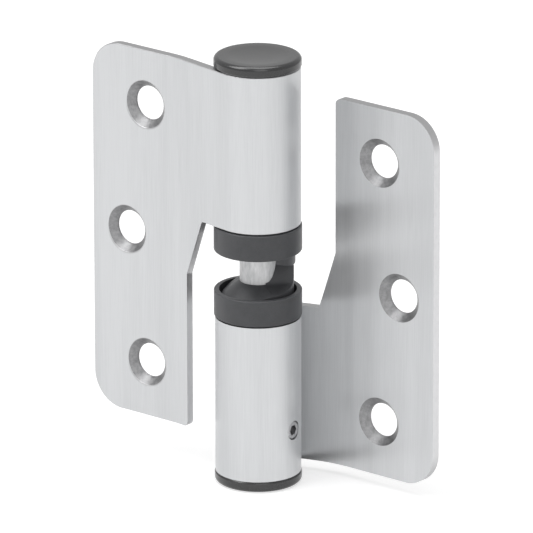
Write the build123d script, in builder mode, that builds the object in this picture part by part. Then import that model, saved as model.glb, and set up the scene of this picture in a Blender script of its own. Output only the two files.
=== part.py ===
from build123d import *
from math import atan2, cos, degrees, radians, sin, sqrt, tan
import os

os.makedirs("parts", exist_ok=True)

# Rising butt hinge, shown fully open with the door leaf raised on its cam.
# Millimetres. The origin is on the pin axis, level with the bottom edge of the frame leaf.
# +Z runs up the pin, +X runs along the frame leaf and -Y is the side that shows.

# Sheet that both leaves are bent from
sheet = 2.5
roll_radius = 11.2
leaf_height = 100.0
leaf_width = 32.0
outer_corner_radius = 9.0
inner_corner_radius = 1.5
neck_corner_radius = 0.8
slant_height = 15.8

# Door leaf, whose face steps forward to the front of its knuckle
door_reach = 49.0
door_face_offset = 7.7
door_bend_angle = 10.0
door_bend_radius = 30.0
door_slant_run = 5.9
door_seam_angle = 214.0

# Frame leaf, which leaves the back of its knuckle in one open curve
frame_reach = 45.7
frame_face_offset = 15.2
frame_curve_run = 4.3
frame_slant_run = 4.8
frame_seam_angle = 76.0

# Screw holes, three in a staggered row in each leaf
hole_radius = 4.5
countersink_radius = 6.5
countersink_angle = 90.0
hole_pitch = 35.25
outer_pair_inset = 17.8
middle_hole_inset = 11.3

# Rise of the door leaf over half a turn, and its height over the frame leaf when folded
rise = 8.5
rise_turn = 180.0
folded_step = 1.3

# Plastic rings of the two cams, which stand apart by rings_apart with the leaves level
ring_radius = 11.45
ring_height = 7.3
ring_edge_round = 0.35
ring_groove_height = 0.35
ring_groove_depth = 0.9
ring_side_gap = 0.3
rings_apart = 1.0
cup_bore_radius = 10.1
cup_floor_depth = 4.6
stem_length = 18.0
stem_socket_gap = 3.6
stem_clearance = 0.05

# Cams. The ramp falls round the back from its top; its front ends in a leaning wall.
# Heights are at the outer edge of the cone: the valley over the lower rim, the rest over the valley.
cam_radius = 9.3
cam_slope = 38.0
valley_height = -1.1
ramp_top_angle = 15.0
ramp_point_step = 5.0
wall_heading = -27.0
wall_lean = 20.0
wall_foot_offset = 5.0
wall_foot_height = 3.4
wall_foot_radius = 2.0
wall_foot_slope = 22.0
wall_foot_lead = 37.0
cam_gap = 0.35

# Nose of the upper cam
nose_radius = 9.7
relief_heading = 39.0
relief_offset = 4.7
relief_depth = 1.5

# Pin and the pieces that guide it
pin_radius = 4.8
pin_base = 3.8
pin_top_gap = 2.3
pin_chamfer = 0.8
running_clearance = 0.05
push_clearance = 0.02
sleeve_wall = 1.2
sleeve_length = 20.0
sleeve_seat = 4.5
sleeve_end_play = 0.2
bush_overlap = 1.1
socket_length = 17.0

# Grub screw that locks the pin
screw_radius = 2.5
screw_level = 12.6
screw_heading = 5.0
screw_recess = 0.3
screw_hole_clearance = 0.05
screw_chamfer = 0.35
key_width = 2.5
key_depth = 2.6

# End caps
cap_radius = 11.4
cap_height = 2.9
cap_edge_round = 1.2
cap_lip_step = 0.35
cap_lip_height = 0.5
cap_dish = 0.35
cap_dish_radius = 9.3
plug_length = 3.4
plug_wall = 1.4

# Levels along the pin, at rest with the door leaf raised
roll_bore = roll_radius - sheet
knuckle_length = (leaf_height - 2 * ring_height - rings_apart) / 2
lower_rim = knuckle_length + ring_height
door_base = folded_step + rise
upper_ring_top = door_base + leaf_height - knuckle_length
upper_ring_base = upper_ring_top - ring_height
upper_end = door_base + leaf_height
pin_top = upper_end - rise - pin_top_gap
valley = lower_rim + valley_height
socket_base = plug_length + sleeve_end_play
lower_stem_foot = socket_base + socket_length + stem_socket_gap


def at_angle(radius, angle):
    """Point on a circle about the pin axis."""
    return (radius * cos(radians(angle)), radius * sin(radians(angle)))


def frame_plan():
    """Closed plan of the frame leaf: flat, open curve, then the roll back round to its seam."""
    curve_start = frame_reach - leaf_width + frame_curve_run
    height = frame_face_offset
    curve_radius = (curve_start**2 + height**2 - roll_bore**2) / (2 * (height - roll_bore))
    centre = (curve_start, height - curve_radius)
    tangent = degrees(atan2(-centre[1], -centre[0]))
    turned = tangent - 90
    sweep = 360 + frame_seam_angle - tangent
    Line((frame_reach, height), (curve_start, height))
    CenterArc(centre, curve_radius, 90, turned)
    CenterArc((0, 0), roll_bore, tangent, sweep)
    Line(at_angle(roll_bore, frame_seam_angle), at_angle(roll_radius, frame_seam_angle))
    CenterArc((0, 0), roll_radius, frame_seam_angle, -sweep)
    CenterArc(centre, curve_radius + sheet, tangent, -turned)
    Line((curve_start, height + sheet), (frame_reach, height + sheet))
    Line((frame_reach, height + sheet), (frame_reach, height))


def door_plan():
    """Closed plan of the door leaf: flat, small step forward, then the roll round to its seam."""
    slope = radians(door_bend_angle)
    reach = roll_radius + door_bend_radius - (door_face_offset + door_bend_radius) * cos(slope)
    bend_start = reach / sin(slope)
    centre = (-bend_start, -door_face_offset - door_bend_radius)
    back_radius = door_bend_radius + sheet
    face_end = (centre[0] + door_bend_radius * sin(slope), centre[1] + door_bend_radius * cos(slope))
    back_end = (centre[0] + back_radius * sin(slope), centre[1] + back_radius * cos(slope))
    tangent = 270 - door_bend_angle
    sweep = 360 + door_seam_angle - tangent
    Line((-door_reach, -door_face_offset), (-bend_start, -door_face_offset))
    CenterArc(centre, door_bend_radius, 90, -door_bend_angle)
    Line(face_end, at_angle(roll_radius, tangent))
    CenterArc((0, 0), roll_radius, tangent, sweep)
    Line(at_angle(roll_radius, door_seam_angle), at_angle(roll_bore, door_seam_angle))
    CenterArc((0, 0), roll_bore, door_seam_angle, -sweep)
    Line(at_angle(roll_bore, tangent), back_end)
    CenterArc(centre, back_radius, 90 - door_bend_angle, door_bend_angle)
    Line((-bend_start, sheet - door_face_offset), (-door_reach, sheet - door_face_offset))
    Line((-door_reach, sheet - door_face_offset), (-door_reach, -door_face_offset))


def blank_outline(reach, slant_run):
    """Front view of one blank with its knuckle at the top and its outer edge at +X."""
    inner = reach - leaf_width
    neck = leaf_height - knuckle_length
    far_side = -roll_radius - sheet
    Polyline(
        (inner, 0),
        (reach, 0),
        (reach, leaf_height),
        (far_side, leaf_height),
        (far_side, neck),
        (inner - slant_run, neck),
        (inner, neck - slant_height),
        close=True,
    )


def round_blank_corners(reach, slant_run):
    """Round the corners of the blank that show."""
    inner = reach - leaf_width
    neck = leaf_height - knuckle_length
    rounds = [
        ((reach, 0), outer_corner_radius),
        ((reach, leaf_height), outer_corner_radius),
        ((inner, 0), inner_corner_radius),
        ((inner, neck - slant_height), inner_corner_radius),
        ((inner - slant_run, neck), neck_corner_radius),
    ]
    for corner, radius in rounds:
        fillet(vertices().sort_by_distance(corner)[0], radius)


def cone_height(radius, slope=cam_slope):
    """Rise of a conical face from the cams' outer edge in to a radius."""
    return (cam_radius - radius) * tan(radians(slope))


def under_ramp(start, low, end, high, slope=cam_slope):
    """Solid under a ramp that climbs from low to high between two angles, down through the part."""
    count = round((end - start) / ramp_point_step)
    edges = []
    for radius in (pin_radius / 2, ring_radius + sheet):
        points = []
        for i in range(count + 1):
            share = i / count
            x, y = at_angle(radius, start + (end - start) * share)
            points.append((x, y, low + (high - low) * share + cone_height(radius, slope)))
        edges.append(Edge.make_spline(points))
    surface = Face.make_surface_from_curves(edges[0], edges[1])
    return Solid.extrude(surface, Vector(0, 0, -leaf_height))


def ramp_solids(clearance):
    """Solids under the ramp's level top, its fall round the back and the slope up to its foot."""
    top = valley + rise + clearance
    low = valley + clearance
    foot = low + wall_foot_height - cone_height(wall_foot_offset, wall_foot_slope)
    ahead = degrees(clearance / wall_foot_offset)
    level = under_ramp(wall_heading - ahead, top, ramp_top_angle, top)
    fall = under_ramp(ramp_top_angle, top, ramp_top_angle + rise_turn, low)
    front = under_ramp(wall_heading - wall_foot_lead, low, wall_heading, foot, wall_foot_slope)
    return [level, fall, front]


def wall_profile():
    """Outline of what is cut away in front of the ramp's wall; +X is the way that the wall faces."""
    corner = (wall_foot_offset, valley + wall_foot_height)
    reach = 2 * ring_radius
    Polyline(
        corner,
        (corner[0] + reach, corner[1] - reach * tan(radians(wall_foot_slope))),
        (corner[0] + reach, corner[1] + reach),
        (corner[0] - reach * tan(radians(wall_lean)), corner[1] + reach),
        close=True,
    )


def round_wall_foot():
    """Round the hollow corner between the wall and its foot."""
    corner = (wall_foot_offset, valley + wall_foot_height)
    fillet(vertices().sort_by_distance(corner)[0], wall_foot_radius)


def cut_screw_holes(reach, face):
    """Three countersunk holes of one blank, drilled in from its face."""
    middle = leaf_height / 2
    rows = [
        (reach - outer_pair_inset, middle - hole_pitch),
        (reach - middle_hole_inset, middle),
        (reach - outer_pair_inset, middle + hole_pitch),
    ]
    with Locations([face.location * Location((x, y, 0)) for x, y in rows]):
        CounterSinkHole(hole_radius, countersink_radius, counter_sink_angle=countersink_angle)


def cap_profile(outward):
    """Half section of a plug-in end cap; outward is 1 for the top cap and -1 for the bottom one."""
    plug_radius = roll_bore - stem_clearance
    plug_bore = plug_radius - plug_wall
    foot = cap_radius - cap_lip_step
    shoulder = cap_height - cap_edge_round
    crown = cap_radius - cap_edge_round
    corner = cap_edge_round * (1 - sqrt(0.5))
    Polyline(
        (0, 0),
        (plug_bore, 0),
        (plug_bore, -plug_length * outward),
        (plug_radius, -plug_length * outward),
        (plug_radius, 0),
        (foot, 0),
        (cap_radius, cap_lip_height * outward),
        (cap_radius, shoulder * outward),
    )
    ThreePointArc(
        (cap_radius, shoulder * outward),
        (cap_radius - corner, (cap_height - corner) * outward),
        (crown, cap_height * outward),
    )
    Line((crown, cap_height * outward), (cap_dish_radius, cap_height * outward))
    dish_radius = (cap_dish_radius**2 + cap_dish**2) / (2 * cap_dish)
    half = cap_dish_radius / 2
    half_rise = dish_radius - sqrt(dish_radius**2 - half**2)
    ThreePointArc(
        (cap_dish_radius, cap_height * outward),
        (half, (cap_height - cap_dish + half_rise) * outward),
        (0, (cap_height - cap_dish) * outward),
    )
    Line((0, (cap_height - cap_dish) * outward), (0, 0))


# Frame leaf, with its knuckle at the bottom
frame_view = Plane((0, 0, leaf_height), x_dir=(1, 0, 0), z_dir=(0, 1, 0))
frame_face = Plane((0, frame_face_offset, 0), x_dir=(1, 0, 0), z_dir=(0, -1, 0))
screw_axis = Plane((0, 0, screw_level), z_dir=(cos(radians(screw_heading)), sin(radians(screw_heading)), 0))
with BuildPart() as frame_leaf:
    with BuildSketch(Plane.XY):
        with BuildLine():
            frame_plan()
        make_face()
    extrude(amount=leaf_height)
    with BuildSketch(frame_view):
        with BuildLine():
            blank_outline(frame_reach, frame_slant_run)
        make_face()
        round_blank_corners(frame_reach, frame_slant_run)
    extrude(amount=leaf_height, both=True, mode=Mode.INTERSECT)
    with BuildSketch(Plane.XY.offset(knuckle_length)):
        Circle(ring_radius + ring_side_gap)
    extrude(amount=leaf_height, mode=Mode.SUBTRACT)
    cut_screw_holes(frame_reach, frame_face)
    with BuildSketch(screw_axis):
        Circle(screw_radius + screw_hole_clearance)
    extrude(amount=roll_radius + sheet, mode=Mode.SUBTRACT)
frame_leaf.part.label = "frame_leaf"
export_step(frame_leaf.part, "parts/frame_leaf.step")

# Door leaf, with its knuckle at the top
door_view = Plane((0, 0, door_base), x_dir=(-1, 0, 0), z_dir=(0, 1, 0))
door_face = Plane((0, -door_face_offset, upper_end), x_dir=(-1, 0, 0), z_dir=(0, -1, 0))
with BuildPart() as door_leaf:
    with BuildSketch(Plane.XY.offset(door_base)):
        with BuildLine():
            door_plan()
        make_face()
    extrude(amount=leaf_height)
    with BuildSketch(door_view):
        with BuildLine():
            blank_outline(door_reach, door_slant_run)
        make_face()
        round_blank_corners(door_reach, door_slant_run)
    extrude(amount=leaf_height, both=True, mode=Mode.INTERSECT)
    with BuildSketch(Plane.XY.offset(upper_ring_top)):
        Circle(ring_radius + ring_side_gap)
    extrude(amount=-leaf_height, mode=Mode.SUBTRACT)
    cut_screw_holes(door_reach, door_face)
door_leaf.part.label = "door_leaf"
export_step(door_leaf.part, "parts/door_leaf.step")

# Ramp of the lower cam, and the larger space for it that is cut out of the upper cam
wall_view = Plane((0, 0, 0), x_dir=(*at_angle(1, wall_heading), 0), z_dir=(*at_angle(1, wall_heading - 90), 0))
with BuildPart() as lower_ramp:
    add(ramp_solids(0))
    with BuildSketch(wall_view):
        with BuildLine():
            wall_profile()
        make_face()
        round_wall_foot()
    extrude(amount=leaf_height, both=True, mode=Mode.SUBTRACT)

with BuildPart() as ramp_space:
    add(ramp_solids(cam_gap))
    with BuildSketch(wall_view):
        with BuildLine():
            wall_profile()
        make_face()
        round_wall_foot()
        offset(amount=-cam_gap, mode=Mode.REPLACE)
    extrude(amount=leaf_height, both=True, mode=Mode.SUBTRACT)

# Lower cam: plug, cup, cone and ramp in one moulding
cup_floor = lower_rim - cup_floor_depth
neck_radius = ring_radius - ring_groove_depth
stem_radius = roll_bore - stem_clearance
with BuildPart() as lower_cam:
    add(lower_ramp.part)
    with BuildSketch(Plane.XY.offset(cup_floor)):
        Circle(cam_radius)
    extrude(amount=leaf_height, mode=Mode.INTERSECT)
    with BuildSketch(Plane.XZ):
        with BuildLine():
            Polyline(
                (0, lower_stem_foot),
                (stem_radius, lower_stem_foot),
                (stem_radius, knuckle_length),
                (neck_radius, knuckle_length),
                (neck_radius, knuckle_length + ring_groove_height),
                (ring_radius, knuckle_length + ring_groove_height),
                (ring_radius, lower_rim),
                (cup_bore_radius, lower_rim),
                (cup_bore_radius, cup_floor),
                (cam_radius, cup_floor),
                (cam_radius, valley),
                (0, valley + cone_height(0)),
                close=True,
            )
        make_face()
        fillet(vertices().group_by(Axis.X)[-1], ring_edge_round)
    revolve(axis=Axis.Z)
    with BuildSketch():
        Circle(pin_radius + push_clearance)
    extrude(amount=leaf_height, mode=Mode.SUBTRACT)
lower_cam.part.label = "lower_cam"
export_step(lower_cam.part, "parts/lower_cam.step")

# Upper cam: ring, nose and plug in one moulding, bored for the pin and its sleeve
sleeve_radius = pin_radius + running_clearance + sleeve_wall
sleeve_base = upper_ring_top + sleeve_seat
nose_level = valley + rise + cam_gap
relief_view = Plane((0, 0, 0), x_dir=(*at_angle(1, relief_heading), 0), z_dir=(*at_angle(1, relief_heading - 90), 0))
with BuildPart() as upper_cam:
    with BuildSketch(Plane.XZ):
        with BuildLine():
            Polyline(
                (0, nose_level + cone_height(0)),
                (nose_radius, nose_level + cone_height(nose_radius)),
                (nose_radius, upper_ring_top),
                (stem_radius, upper_ring_top),
                (stem_radius, upper_ring_top + stem_length),
                (0, upper_ring_top + stem_length),
                close=True,
            )
        make_face()
    revolve(axis=Axis.Z)
    add(ramp_space.part.rotate(Axis.Z, -rise_turn).move(Location((0, 0, rise))), mode=Mode.SUBTRACT)
    with BuildSketch(relief_view):
        with Locations((relief_offset, upper_ring_base + relief_depth)):
            Rectangle(2 * ring_radius, leaf_height, align=(Align.MAX, Align.MAX))
    extrude(amount=leaf_height, mode=Mode.SUBTRACT)
    with BuildSketch(Plane.XZ):
        with BuildLine():
            Polyline(
                (nose_radius, upper_ring_base),
                (ring_radius, upper_ring_base),
                (ring_radius, upper_ring_top - ring_groove_height),
                (neck_radius, upper_ring_top - ring_groove_height),
                (neck_radius, upper_ring_top),
                (nose_radius, upper_ring_top),
                close=True,
            )
        make_face()
        fillet(vertices().group_by(Axis.X)[-1], ring_edge_round)
    revolve(axis=Axis.Z)
    with BuildSketch():
        Circle(pin_radius + running_clearance)
    extrude(amount=upper_end, mode=Mode.SUBTRACT)
    with BuildSketch(Plane.XY.offset(sleeve_base)):
        Circle(sleeve_radius + running_clearance)
    extrude(amount=leaf_height, mode=Mode.SUBTRACT)
upper_cam.part.label = "upper_cam"
export_step(upper_cam.part, "parts/upper_cam.step")

# Pin, locked in the frame leaf's knuckle
with BuildPart() as hinge_pin:
    with BuildSketch(Plane.XY.offset(pin_base)):
        Circle(pin_radius)
    extrude(amount=pin_top - pin_base)
    chamfer(hinge_pin.edges().filter_by(GeomType.CIRCLE), pin_chamfer)
hinge_pin.part.label = "hinge_pin"
export_step(hinge_pin.part, "parts/hinge_pin.step")

# Floating sleeve that the raised knuckle carries up the pin
sleeve_floor = sleeve_base + sleeve_end_play
with BuildPart() as pin_sleeve:
    with BuildSketch(Plane.XY.offset(sleeve_floor)):
        Circle(sleeve_radius)
        Circle(pin_radius + running_clearance, mode=Mode.SUBTRACT)
    extrude(amount=sleeve_length)
pin_sleeve.part.label = "pin_sleeve"
export_step(pin_sleeve.part, "parts/pin_sleeve.step")

# Bush at the top of the door leaf's knuckle, down over the upper end of the sleeve
bush_top = upper_end - plug_length - sleeve_end_play
bush_base = sleeve_floor + sleeve_length - bush_overlap
sleeve_stop = sleeve_floor + sleeve_length + sleeve_end_play
with BuildPart() as top_bush:
    with BuildSketch(Plane.XY.offset(bush_base)):
        Circle(stem_radius)
    extrude(amount=bush_top - bush_base)
    with BuildSketch():
        Circle(pin_radius + running_clearance)
    extrude(amount=upper_end, mode=Mode.SUBTRACT)
    with BuildSketch(Plane.XY.offset(sleeve_stop)):
        Circle(sleeve_radius + running_clearance)
    extrude(amount=-leaf_height, mode=Mode.SUBTRACT)
top_bush.part.label = "top_bush"
export_step(top_bush.part, "parts/top_bush.step")

# Metal socket that holds the foot of the pin and the thread of the grub screw
with BuildPart() as pin_socket:
    with BuildSketch(Plane.XY.offset(socket_base)):
        Circle(stem_radius)
        Circle(pin_radius + push_clearance, mode=Mode.SUBTRACT)
    extrude(amount=socket_length)
    with BuildSketch(screw_axis):
        Circle(screw_radius + screw_hole_clearance)
    extrude(amount=roll_radius, mode=Mode.SUBTRACT)
pin_socket.part.label = "pin_socket"
export_step(pin_socket.part, "parts/pin_socket.step")

# Grub screw with a hexagon socket
screw_tip = pin_radius + push_clearance
screw_head = roll_radius - screw_recess
with BuildPart() as grub_screw:
    with BuildSketch(screw_axis.offset(screw_tip)):
        Circle(screw_radius)
    extrude(amount=screw_head - screw_tip)
    chamfer(grub_screw.edges().filter_by(GeomType.CIRCLE), screw_chamfer)
    with BuildSketch(screw_axis.offset(screw_head)):
        RegularPolygon(key_width / 2, 6, major_radius=False)
    extrude(amount=-key_depth, mode=Mode.SUBTRACT)
grub_screw.part.label = "grub_screw"
export_step(grub_screw.part, "parts/grub_screw.step")

# End caps
with BuildPart() as top_cap:
    with BuildSketch(Plane((0, 0, upper_end), x_dir=(1, 0, 0), z_dir=(0, -1, 0))):
        with BuildLine():
            cap_profile(1)
        make_face()
    revolve(axis=Axis.Z)
top_cap.part.label = "top_cap"
export_step(top_cap.part, "parts/top_cap.step")

with BuildPart() as bottom_cap:
    with BuildSketch(Plane.XZ):
        with BuildLine():
            cap_profile(-1)
        make_face()
    revolve(axis=Axis.Z)
bottom_cap.part.label = "bottom_cap"
export_step(bottom_cap.part, "parts/bottom_cap.step")
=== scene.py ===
"""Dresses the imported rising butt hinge: brushed leaves, dark cams and caps, steel pin and grub screw."""

from __future__ import annotations

import logging
import math
from dataclasses import dataclass
from enum import Enum, IntEnum

import bpy
from mathutils import Matrix, Vector


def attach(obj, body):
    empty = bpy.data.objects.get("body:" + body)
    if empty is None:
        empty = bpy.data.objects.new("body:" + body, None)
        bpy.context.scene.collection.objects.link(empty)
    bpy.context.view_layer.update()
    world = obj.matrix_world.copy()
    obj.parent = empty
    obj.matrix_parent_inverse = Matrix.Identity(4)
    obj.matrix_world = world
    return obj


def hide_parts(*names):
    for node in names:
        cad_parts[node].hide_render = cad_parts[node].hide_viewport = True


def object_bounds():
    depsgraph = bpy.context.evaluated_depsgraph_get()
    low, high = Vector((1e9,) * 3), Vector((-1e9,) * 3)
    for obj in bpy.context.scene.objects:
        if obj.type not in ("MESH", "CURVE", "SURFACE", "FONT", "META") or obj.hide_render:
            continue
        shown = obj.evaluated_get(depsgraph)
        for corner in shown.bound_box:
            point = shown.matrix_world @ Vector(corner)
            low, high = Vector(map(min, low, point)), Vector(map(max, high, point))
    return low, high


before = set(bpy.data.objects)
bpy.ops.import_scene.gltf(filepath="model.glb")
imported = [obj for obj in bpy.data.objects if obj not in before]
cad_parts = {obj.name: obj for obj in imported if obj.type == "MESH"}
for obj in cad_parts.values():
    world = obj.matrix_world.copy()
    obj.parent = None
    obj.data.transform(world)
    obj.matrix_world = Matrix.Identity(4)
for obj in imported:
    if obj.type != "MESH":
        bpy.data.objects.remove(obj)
CAD_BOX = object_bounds()
MM = 0.001
MERGE_REACH = 0.0005 * MM
FLAT_ANGLE = math.radians(0.4)
SHARP_ANGLE = math.radians(32.0)
NOISE_LOW, NOISE_HIGH = 0.3, 0.7
EDGE_SHADE_TURN = "edge_shade_turn"
LOG = logging.getLogger("hinge")

Colour = tuple[float, float, float]
Triple = tuple[float, float, float]
Pair = tuple[float, float]
Socket = bpy.types.NodeSocket


class Body(Enum):
    """Rigid bodies of the hinge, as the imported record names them."""

    FRAME = "frame"
    SLEEVE = "sleeve"
    DOOR = "door"


class Slot(Enum):
    """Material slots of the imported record."""

    STEEL = "brushed_steel"
    CAP = "cap_plastic"
    CAM = "dark_plastic"
    PIN = "pin_steel"
    SCREW = "screw_steel"
    SOCKET = "socket_steel"
    BEARING = "bearing_bronze"
    INSERT = "insert_plastic"


class LeafFinish(IntEnum):
    """Material indices on a leaf."""

    BRUSHED = 0
    SHEARED = 1
    MACHINED = 2


class NodeCanvas:
    """Small helper that adds and links shader nodes in one material."""

    def __init__(self, name: str) -> None:
        """Make an empty node material.

        Args:
            name: The material's name.
        """
        self.material = bpy.data.materials.new(name)
        self.material.use_nodes = True
        self.tree = self.material.node_tree
        self.tree.nodes.clear()
        self.surface = self.add("ShaderNodeBsdfPrincipled")
        output = self.add("ShaderNodeOutputMaterial")
        self.link(self.surface.outputs["BSDF"], output.inputs["Surface"])

    def add(self, kind: str, **settings: object) -> bpy.types.Node:
        """Add a node.

        Args:
            kind: The node's type name.
            **settings: Properties set on the node itself.

        Returns:
            The new node.
        """
        node = self.tree.nodes.new(kind)
        for key, value in settings.items():
            setattr(node, key, value)
        return node

    def link(self, source: Socket, target: Socket) -> None:
        """Link two sockets.

        Args:
            source: The output that gives the value.
            target: The input that takes it.
        """
        self.tree.links.new(source, target)

    def preset(self, node: bpy.types.Node, values: dict[str, object]) -> bpy.types.Node:
        """Set a node's unlinked inputs.

        Args:
            node: The node.
            values: Value of each input by its name.

        Returns:
            The same node.
        """
        for key, value in values.items():
            node.inputs[key].default_value = value
        return node

    def place(self, scale: Triple) -> Socket:
        """Give object coordinates stretched by a scale.

        Args:
            scale: Repeats per metre along X, Y and Z.

        Returns:
            The vector socket.
        """
        coordinates = self.add("ShaderNodeTexCoord")
        mapping = self.preset(self.add("ShaderNodeMapping"), {"Scale": scale})
        self.link(coordinates.outputs["Object"], mapping.inputs["Vector"])
        return mapping.outputs["Vector"]

    def noise(self, scale: Triple, detail: float, roughness: float = 0.55) -> Socket:
        """Add a noise texture.

        Args:
            scale: Repeats per metre along X, Y and Z.
            detail: Octaves of the noise.
            roughness: Strength of the finer octaves.

        Returns:
            The grey value socket.
        """
        octaves = {"Scale": 1.0, "Detail": detail, "Roughness": roughness}
        texture = self.preset(self.add("ShaderNodeTexNoise"), octaves)
        self.link(self.place(scale), texture.inputs["Vector"])
        return texture.outputs["Fac"]

    def blend(self, first: Socket, second: Socket, share: float) -> Socket:
        """Mix two grey values.

        Args:
            first: Value at a share of 0.
            second: Value at a share of 1.
            share: Part taken from the second value.

        Returns:
            The mixed value socket.
        """
        mix = self.preset(self.add("ShaderNodeMix", data_type="FLOAT"), {"Factor": share})
        self.link(first, mix.inputs["A"])
        self.link(second, mix.inputs["B"])
        return mix.outputs["Result"]

    def ramp(self, value: Socket, low: Colour, high: Colour, reach: Pair) -> None:
        """Drive the base colour from a value.

        Args:
            value: The grey value.
            low: Colour at and below the start of the reach.
            high: Colour at and above its end.
            reach: Values between which the colours blend.
        """
        colours = self.add("ShaderNodeValToRGB")
        for element, position, colour in zip(colours.color_ramp.elements, reach, (low, high)):
            element.position = position
            element.color = (*colour, 1.0)
        self.link(value, colours.inputs["Fac"])
        self.link(colours.outputs["Color"], self.surface.inputs["Base Color"])

    def spread(self, value: Socket, low: float, high: float) -> None:
        """Drive the roughness between two limits.

        Args:
            value: The grey value, most of it between NOISE_LOW and NOISE_HIGH.
            low: Roughness at the low end.
            high: Roughness at the high end.
        """
        limits = {"From Min": NOISE_LOW, "From Max": NOISE_HIGH, "To Min": low, "To Max": high}
        reach = self.preset(self.add("ShaderNodeMapRange"), limits)
        self.link(value, reach.inputs["Value"])
        self.link(reach.outputs["Result"], self.surface.inputs["Roughness"])

    def bump(self, value: Socket, depth: float, strength: float) -> None:
        """Raise the surface by a value.

        Args:
            value: The grey value.
            depth: Height of the relief in metres.
            strength: Share of the relief that shows.
        """
        relief = self.preset(self.add("ShaderNodeBump"), {"Distance": depth, "Strength": strength})
        self.link(value, relief.inputs["Height"])
        self.link(relief.outputs["Normal"], self.surface.inputs["Normal"])


@dataclass(frozen=True, kw_only=True)
class Finish:
    """What every finish has: two tones, a range of roughness and a fine relief."""

    name: str
    dark: Colour
    light: Colour
    tone_reach: Pair
    smooth: float
    rough: float
    relief: float
    strength: float = 0.5
    metallic: float = 1.0

    def dress(self, canvas: NodeCanvas, tone: Socket, sheen: Socket, height: Socket) -> bpy.types.Material:
        """Drive the colour, roughness and relief.

        Args:
            canvas: The material's canvas.
            tone: Grey value for the colour.
            sheen: Grey value for the roughness.
            height: Grey value for the relief.

        Returns:
            The material.
        """
        canvas.ramp(tone, self.dark, self.light, self.tone_reach)
        canvas.spread(sheen, self.smooth, self.rough)
        canvas.bump(height, self.relief, self.strength)
        canvas.preset(canvas.surface, {"Metallic": self.metallic})
        return canvas.material


@dataclass(frozen=True, kw_only=True)
class BrushedMetal(Finish):
    """Metal with a long grain along Z."""

    dark: Colour = (0.558, 0.566, 0.576)
    light: Colour = (0.632, 0.64, 0.65)
    tone_reach: Pair = (0.36, 0.62)
    smooth: float = 0.33
    rough: float = 0.39
    relief: float = 0.004 * MM
    strength: float = 0.6
    grain_across: float = 3600.0
    grain_along: float = 90.0
    grain_detail: float = 4.0
    band_across: float = 110.0
    band_along: float = 6.0
    band_detail: float = 2.0
    band_share: float = 0.6
    anisotropy: float = 0.8

    def build(self) -> bpy.types.Material:
        """Build the node material.

        Returns:
            The material.
        """
        canvas = NodeCanvas(self.name)
        grain = canvas.noise((self.grain_across, self.grain_across, self.grain_along), self.grain_detail)
        bands = canvas.noise((self.band_across, self.band_across, self.band_along), self.band_detail)
        both = canvas.blend(grain, bands, self.band_share)
        tangent = canvas.add("ShaderNodeTangent", direction_type="RADIAL", axis="Z")
        canvas.link(tangent.outputs["Tangent"], canvas.surface.inputs["Tangent"])
        canvas.preset(canvas.surface, {"Anisotropic": self.anisotropy})
        return self.dress(canvas, both, both, grain)


@dataclass(frozen=True, kw_only=True)
class CutMetal(Finish):
    """Metal left by a cutting tool, with a fine broken grain."""

    tone_reach: Pair = (0.32, 0.68)
    smooth: float = 0.28
    rough: float = 0.48
    relief: float = 0.01 * MM
    grain: float = 900.0
    detail: float = 5.0
    broken: float = 0.65

    def build(self) -> bpy.types.Material:
        """Build the node material.

        Returns:
            The material.
        """
        canvas = NodeCanvas(self.name)
        marks = canvas.noise((self.grain,) * 3, self.detail, self.broken)
        return self.dress(canvas, marks, marks, marks)


@dataclass(frozen=True, kw_only=True)
class SheetEdge(CutMetal):
    """Sheared edge of the sheet with painted shade: lighter where it stands upright, darker where it faces
    up or down.
    """

    # dark holds the lighter grey, painted for upright edges; light holds the darker grey, painted shade for
    # edges that face up or down.
    dark: Colour = (0.66, 0.66, 0.67)
    light: Colour = (0.4, 0.4, 0.405)
    tone_reach: Pair = (0.1, 0.9)
    grain: float = 700.0
    mark_share: float = 0.2

    def build(self) -> bpy.types.Material:
        """Build the node material, which paints shade by how far each point faces up or down.

        Returns:
            The material.
        """
        canvas = NodeCanvas(self.name)
        marks = canvas.noise((self.grain,) * 3, self.detail, self.broken)
        turn = canvas.add("ShaderNodeAttribute", attribute_name=EDGE_SHADE_TURN)
        # Painted shade: the edge's up or down facing, with a little of the tool marks, sets its grey.
        facing_shade_and_marks = canvas.blend(turn.outputs["Fac"], marks, self.mark_share)
        return self.dress(canvas, facing_shade_and_marks, marks, marks)


@dataclass(frozen=True, kw_only=True)
class MouldedPlastic(Finish):
    """Dark moulded plastic with a fine spark-eroded grain."""

    tone_reach: Pair = (0.34, 0.66)
    relief: float = 0.012 * MM
    metallic: float = 0.0
    grain: float = 3600.0
    grain_detail: float = 4.0
    grain_broken: float = 0.6
    cloud: float = 260.0
    cloud_detail: float = 2.0
    cloud_share: float = 0.5
    specular: float = 0.5

    def build(self) -> bpy.types.Material:
        """Build the node material.

        Returns:
            The material.
        """
        canvas = NodeCanvas(self.name)
        grain = canvas.noise((self.grain,) * 3, self.grain_detail, self.grain_broken)
        cloud = canvas.noise((self.cloud,) * 3, self.cloud_detail)
        both = canvas.blend(grain, cloud, self.cloud_share)
        canvas.preset(canvas.surface, {"Specular IOR Level": self.specular})
        return self.dress(canvas, both, both, grain)


def select_only(piece: bpy.types.Object) -> None:
    """Select one object alone and make it active.

    Args:
        piece: The object.
    """
    bpy.ops.object.select_all(action="DESELECT")
    piece.select_set(True)
    bpy.context.view_layer.objects.active = piece


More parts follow.
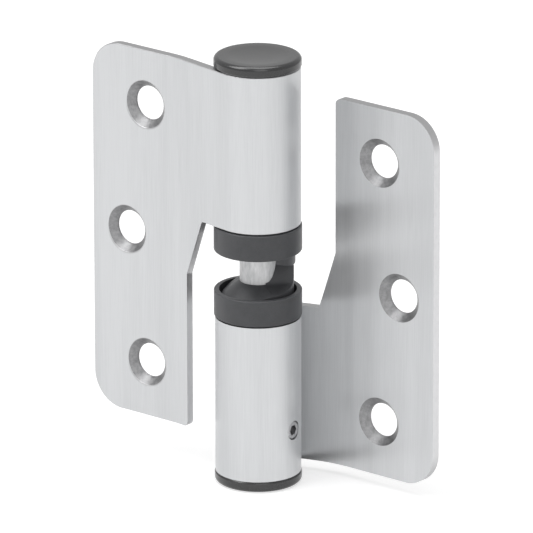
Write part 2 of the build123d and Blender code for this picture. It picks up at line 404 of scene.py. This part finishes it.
def clean_copy(node: str, name: str) -> bpy.types.Object:
    """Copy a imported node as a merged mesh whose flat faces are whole.

    Args:
        node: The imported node.
        name: Name of the copy.

    Returns:
        The copy, unparented and at the origin.
    """
    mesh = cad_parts[node].data.copy()
    mesh.materials.clear()
    piece = bpy.data.objects.new(name, mesh)
    bpy.context.scene.collection.objects.link(piece)
    select_only(piece)
    bpy.ops.object.mode_set(mode="EDIT")
    bpy.ops.mesh.select_all(action="SELECT")
    bpy.ops.mesh.customdata_custom_splitnormals_clear()
    bpy.ops.mesh.remove_doubles(threshold=MERGE_REACH)
    bpy.ops.mesh.dissolve_limited(angle_limit=FLAT_ANGLE)
    bpy.ops.mesh.normals_make_consistent(inside=False)
    bpy.ops.object.mode_set(mode="OBJECT")
    return piece


def drop_empty_faces() -> None:
    """Take away the faces without area that rounding leaves in the active piece."""
    bpy.ops.object.mode_set(mode="EDIT")
    bpy.ops.mesh.select_all(action="SELECT")
    bpy.ops.mesh.remove_doubles(threshold=MERGE_REACH)
    bpy.ops.mesh.dissolve_degenerate(threshold=MERGE_REACH)
    bpy.ops.object.mode_set(mode="OBJECT")


def soften(piece: bpy.types.Object, width: float, segments: int = 3) -> None:
    """Round a piece's sharp edges and shade it smooth.

    Args:
        piece: The piece.
        width: Width of the rounding in metres.
        segments: Faces across the rounding.
    """
    select_only(piece)
    bevel = piece.modifiers.new("edge_round", "BEVEL")
    bevel.width = width
    bevel.segments = segments
    bevel.limit_method = "ANGLE"
    bevel.angle_limit = SHARP_ANGLE
    bevel.harden_normals = False
    bpy.ops.object.modifier_apply(modifier=bevel.name)
    drop_empty_faces()
    bpy.ops.object.shade_smooth_by_angle(angle=SHARP_ANGLE)
    weights = piece.modifiers.new("face_weights", "WEIGHTED_NORMAL")
    weights.keep_sharp = True
    bpy.ops.object.modifier_apply(modifier=weights.name)


def hand_over(piece: bpy.types.Object, node: str, body: Body) -> None:
    """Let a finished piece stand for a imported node.

    Args:
        piece: The finished piece.
        node: The node that it stands for.
        body: The body that it moves with.
    """
    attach(piece, body.value)
    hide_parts(node)
    LOG.info("%s stands for %s: %d faces", piece.name, node, len(piece.data.polygons))


@dataclass(frozen=True)
class Leaf:
    """One leaf with its rolled knuckle and three countersunk holes."""

    node: str
    body: Body
    outer_holes: float
    middle_hole: float
    middle_level: float
    hole_pitch: float = 35.25 * MM
    countersink_radius: float = 6.5 * MM
    rim_margin: float = 0.15 * MM
    roll_radius: float = 11.2 * MM
    roll_margin: float = 1.5 * MM
    edge_round: float = 0.3 * MM
    hole_turn: float = 0.95
    level_turn: float = 0.35
    upright_turn: float = 0.3

    def near_hole(self, place: Vector) -> bool:
        """Tell whether a point lies in one of the countersunk holes.

        Args:
            place: The point.

        Returns:
            True inside a countersink's rim.
        """
        reach = self.countersink_radius - self.rim_margin
        lower, upper = self.middle_level - self.hole_pitch, self.middle_level + self.hole_pitch
        holes = ((self.outer_holes, lower), (self.middle_hole, self.middle_level), (self.outer_holes, upper))
        return any(math.hypot(place.x - x, place.z - z) < reach for x, z in holes)

    def finish_of(self, face: bpy.types.MeshPolygon) -> LeafFinish:
        """Choose a face's material.

        Args:
            face: A face of the leaf.

        Returns:
            The finish of that face.
        """
        centre, normal = face.center, face.normal
        if self.near_hole(centre) and abs(normal.y) < self.hole_turn:
            return LeafFinish.MACHINED
        beyond_roll = math.hypot(centre.x, centre.y) > self.roll_radius + self.roll_margin
        upright_edge = beyond_roll and abs(normal.y) < self.upright_turn
        level_edge = abs(normal.z) > self.level_turn
        return LeafFinish.SHEARED if level_edge or upright_edge else LeafFinish.BRUSHED

    def build(self, finishes: tuple[bpy.types.Material, ...]) -> bpy.types.Object:
        """Build the dressed leaf.

        Args:
            finishes: Brushed, sheared and machined materials, in the order of LeafFinish; the sheared and
                machined ones hold painted shade.

        Returns:
            The finished leaf.
        """
        piece = clean_copy(self.node, f"{self.node}_brushed")
        soften(piece, self.edge_round)
        for finish in finishes:
            piece.data.materials.append(finish)
        for face in piece.data.polygons:
            face.material_index = self.finish_of(face)
        # Painted shade: each point's up or down facing, which darkens the sheared edge's colour.
        turn = piece.data.attributes.new(EDGE_SHADE_TURN, "FLOAT", "POINT")
        for vertex, value in zip(piece.data.vertices, turn.data):
            value.value = abs(vertex.normal.z)
        hand_over(piece, self.node, self.body)
        return piece


@dataclass(frozen=True)
class PlainPiece:
    """A piece with one finish, named after its node and how it is made."""

    node: str
    body: Body
    slot: Slot
    edge_round: float
    segments: int
    making: str

    def build(self, finish: bpy.types.Material) -> bpy.types.Object:
        """Build the dressed piece.

        Args:
            finish: Its material.

        Returns:
            The finished piece.
        """
        piece = clean_copy(self.node, f"{self.node}_{self.making}")
        soften(piece, self.edge_round, self.segments)
        piece.data.materials.append(finish)
        hand_over(piece, self.node, self.body)
        return piece


@dataclass(frozen=True)
class Moulding(PlainPiece):
    """A plastic piece: an end cap, a cam or the bush."""

    segments: int = 3
    making: str = "moulded"


@dataclass(frozen=True)
class TurnedPart(PlainPiece):
    """A turned metal piece: pin, screw, sleeve or socket."""

    edge_round: float = 0.08 * MM
    segments: int = 2
    making: str = "turned"


@dataclass(frozen=True)
class Camera:
    """Camera at the photograph's angle; the distance and focal length keep its perspective."""

    azimuth: float = 39.0
    elevation: float = 18.7
    roll: float = -0.1
    distance: float = 2.3
    shift_right: float = -2.2 * MM
    shift_up: float = 4.2 * MM
    level: float = 59.8 * MM
    pixels_per_mm: float = 3.87
    image_width: float = 533.0
    sensor: float = 36.0
    clip_start: float = 0.05

    def build(self) -> bpy.types.Object:
        """Build the camera and make it the scene's own.

        Returns:
            The camera.
        """
        turn, tilt = math.radians(self.azimuth), math.radians(self.elevation)
        look = Vector((-math.sin(turn) * math.cos(tilt), math.cos(turn) * math.cos(tilt), -math.sin(tilt)))
        right = Vector((math.cos(turn), math.sin(turn), 0.0))
        up = right.cross(look)
        place = -self.shift_right * right - self.shift_up * up - self.distance * look
        rotation = Matrix((right, up, -look)).transposed() @ Matrix.Rotation(math.radians(self.roll), 3, "Z")
        data = bpy.data.cameras.new("camera")
        data.sensor_width = self.sensor
        data.lens = self.pixels_per_mm * self.distance / MM * self.sensor / self.image_width
        data.clip_start = self.clip_start
        camera = bpy.data.objects.new("camera", data)
        camera.matrix_world = Matrix.Translation(place + Vector((0, 0, self.level))) @ rotation.to_4x4()
        bpy.context.scene.collection.objects.link(camera)
        bpy.context.scene.camera = camera
        return camera


@dataclass(frozen=True)
class SoftBox:
    """One soft rectangular lamp aimed at the hinge."""

    name: str
    place: Triple
    size: Pair
    power: float

    def build(self, target: Vector) -> bpy.types.Object:
        """Build the lamp.

        Args:
            target: The point that it faces.

        Returns:
            The lamp.
        """
        data = bpy.data.lights.new(self.name, "AREA")
        data.shape = "RECTANGLE"
        data.size, data.size_y = self.size
        data.energy = self.power
        lamp = bpy.data.objects.new(self.name, data)
        lamp.location = self.place
        lamp.rotation_euler = (target - Vector(self.place)).to_track_quat("-Z", "Y").to_euler()
        bpy.context.scene.collection.objects.link(lamp)
        return lamp


@dataclass(frozen=True)
class Studio:
    """Pale floor, white surroundings and soft lamps."""

    floor_reach: float = 6.0
    floor_gap: float = 0.05 * MM
    floor_colour: Colour = (0.6, 0.6, 0.6)
    floor_roughness: float = 0.9
    floor_glow: float = 0.6
    ambient: float = 0.3
    upper_reflection: float = 0.9
    lamps: tuple[SoftBox, ...] = (
        SoftBox("key", (-0.5, -0.75, 1.3), (0.9, 0.9), 10.0),
        SoftBox("fill", (1.0, -0.9, 0.8), (0.8, 1.0), 3.0),
        SoftBox("top", (0.0, 0.1, 1.5), (1.2, 1.0), 10.0),
    )

    def build_floor(self, level: float) -> bpy.types.Object:
        """Build the floor, which glows only in the picture and in reflections.

        Args:
            level: Height of the hinge's lowest point.

        Returns:
            The floor.
        """
        bpy.ops.object.select_all(action="DESELECT")
        bpy.ops.mesh.primitive_plane_add(size=self.floor_reach, location=(0, 0, level - self.floor_gap))
        floor = bpy.context.object
        floor.name = "floor"
        canvas = NodeCanvas("pale_floor")
        path = canvas.add("ShaderNodeLightPath")
        seen = canvas.add("ShaderNodeMath", operation="MAXIMUM")
        glow = canvas.add("ShaderNodeMath", operation="MULTIPLY")
        glow.inputs[1].default_value = self.floor_glow
        canvas.link(path.outputs["Is Camera Ray"], seen.inputs[0])
        canvas.link(path.outputs["Is Glossy Ray"], seen.inputs[1])
        canvas.link(seen.outputs["Value"], glow.inputs[0])
        canvas.link(glow.outputs["Value"], canvas.surface.inputs["Emission Strength"])
        colour = {"Base Color": (*self.floor_colour, 1.0), "Emission Color": (1.0, 1.0, 1.0, 1.0)}
        canvas.preset(canvas.surface, colour | {"Roughness": self.floor_roughness})
        floor.data.materials.append(canvas.material)
        return floor

    def build_world(self) -> None:
        """Light the surroundings: white to the camera, softer to reflections and to matt surfaces."""
        world = bpy.data.worlds.new("studio")
        bpy.context.scene.world = world
        world.use_nodes = True
        tree = world.node_tree
        tree.nodes.clear()
        path = tree.nodes.new("ShaderNodeLightPath")
        reflected = tree.nodes.new("ShaderNodeMix")
        reflected.inputs["A"].default_value = self.ambient
        reflected.inputs["B"].default_value = self.upper_reflection
        seen = tree.nodes.new("ShaderNodeMix")
        seen.inputs["B"].default_value = 1.0
        light = tree.nodes.new("ShaderNodeBackground")
        output = tree.nodes.new("ShaderNodeOutputWorld")
        tree.links.new(path.outputs["Is Glossy Ray"], reflected.inputs["Factor"])
        tree.links.new(reflected.outputs["Result"], seen.inputs["A"])
        tree.links.new(path.outputs["Is Camera Ray"], seen.inputs["Factor"])
        tree.links.new(seen.outputs["Result"], light.inputs["Strength"])
        tree.links.new(light.outputs["Background"], output.inputs["Surface"])

    def build(self) -> None:
        """Build the whole studio round the hinge."""
        low, high = CAD_BOX
        centre = (Vector(low) + Vector(high)) / 2
        self.build_floor(low[2])
        self.build_world()
        for lamp in self.lamps:
            lamp.build(centre)
        bpy.context.scene.view_settings.view_transform = "Standard"


def dress_leaves() -> None:
    """Dress both leaves in brushed, sheared and machined steel, with painted shade on the sheared edges and
    partly in the machined holes.
    """
    brushed = BrushedMetal(name="brushed_stainless").build()
    sheared = SheetEdge(name="sheared_edge_painted_shade").build()
    # The machined holes are darker than the brushed faces: partly their rougher cut finish, partly painted
    # shade in the countersunk recess.
    machined = CutMetal(
        name="machined_hole_and_recess_shade", dark=(0.22, 0.22, 0.225), light=(0.36, 0.36, 0.365), smooth=0.4, rough=0.55
    ).build()
    for leaf in (
        Leaf("frame_leaf", Body.FRAME, outer_holes=27.9 * MM, middle_hole=34.4 * MM, middle_level=50.0 * MM),
        Leaf("door_leaf", Body.DOOR, outer_holes=-31.2 * MM, middle_hole=-37.7 * MM, middle_level=59.8 * MM),
    ):
        leaf.build((brushed, sheared, machined))


def dress_mouldings() -> None:
    """Dress the cams, the caps and the bush in plastic."""
    cam = MouldedPlastic(
        name="cam_plastic_grained", dark=(0.064, 0.0655, 0.07), light=(0.087, 0.089, 0.095),
        smooth=0.38, rough=0.5,
    ).build()
    cap = MouldedPlastic(
        name="cap_plastic_satin", dark=(0.018, 0.0185, 0.0195), light=(0.026, 0.0265, 0.028),
        smooth=0.17, rough=0.24, strength=0.1, specular=0.75,
    ).build()
    insert = MouldedPlastic(
        name="insert_plastic_plain", dark=(0.1, 0.1, 0.1), light=(0.13, 0.13, 0.13), smooth=0.45, rough=0.6
    ).build()
    Moulding("lower_cam", Body.FRAME, Slot.CAM, 0.18 * MM).build(cam)
    Moulding("upper_cam", Body.DOOR, Slot.CAM, 0.18 * MM).build(cam)
    Moulding("top_cap", Body.DOOR, Slot.CAP, 0.06 * MM).build(cap)
    Moulding("bottom_cap", Body.FRAME, Slot.CAP, 0.06 * MM).build(cap)
    Moulding("top_bush", Body.DOOR, Slot.INSERT, 0.1 * MM).build(insert)


def dress_turned_parts() -> None:
    """Dress the pin, the grub screw, the socket and the sleeve in turned metal."""
    ground = BrushedMetal(
        name="ground_pin", dark=(0.4, 0.405, 0.41), light=(0.62, 0.62, 0.625), smooth=0.36, rough=0.5,
        grain_across=1500.0, grain_along=420.0, band_across=500.0, band_along=90.0, band_share=0.5,
    ).build()
    screw = CutMetal(name="screw_steel_turned", dark=(0.42, 0.42, 0.43), light=(0.62, 0.62, 0.63)).build()
    bearing = CutMetal(name="bearing_metal", dark=(0.42, 0.31, 0.17), light=(0.62, 0.47, 0.27)).build()
    TurnedPart("hinge_pin", Body.FRAME, Slot.PIN).build(ground)
    TurnedPart("grub_screw", Body.FRAME, Slot.SCREW).build(screw)
    TurnedPart("pin_socket", Body.FRAME, Slot.SOCKET).build(screw)
    TurnedPart("pin_sleeve", Body.SLEEVE, Slot.BEARING).build(bearing)


def main() -> None:
    """Dress every node, then build the studio and the camera."""
    logging.basicConfig(level=logging.INFO, format="%(name)s: %(message)s")
    dress_leaves()
    dress_mouldings()
    dress_turned_parts()
    Studio().build()
    Camera().build()


if __name__ == "__main__":
    main()
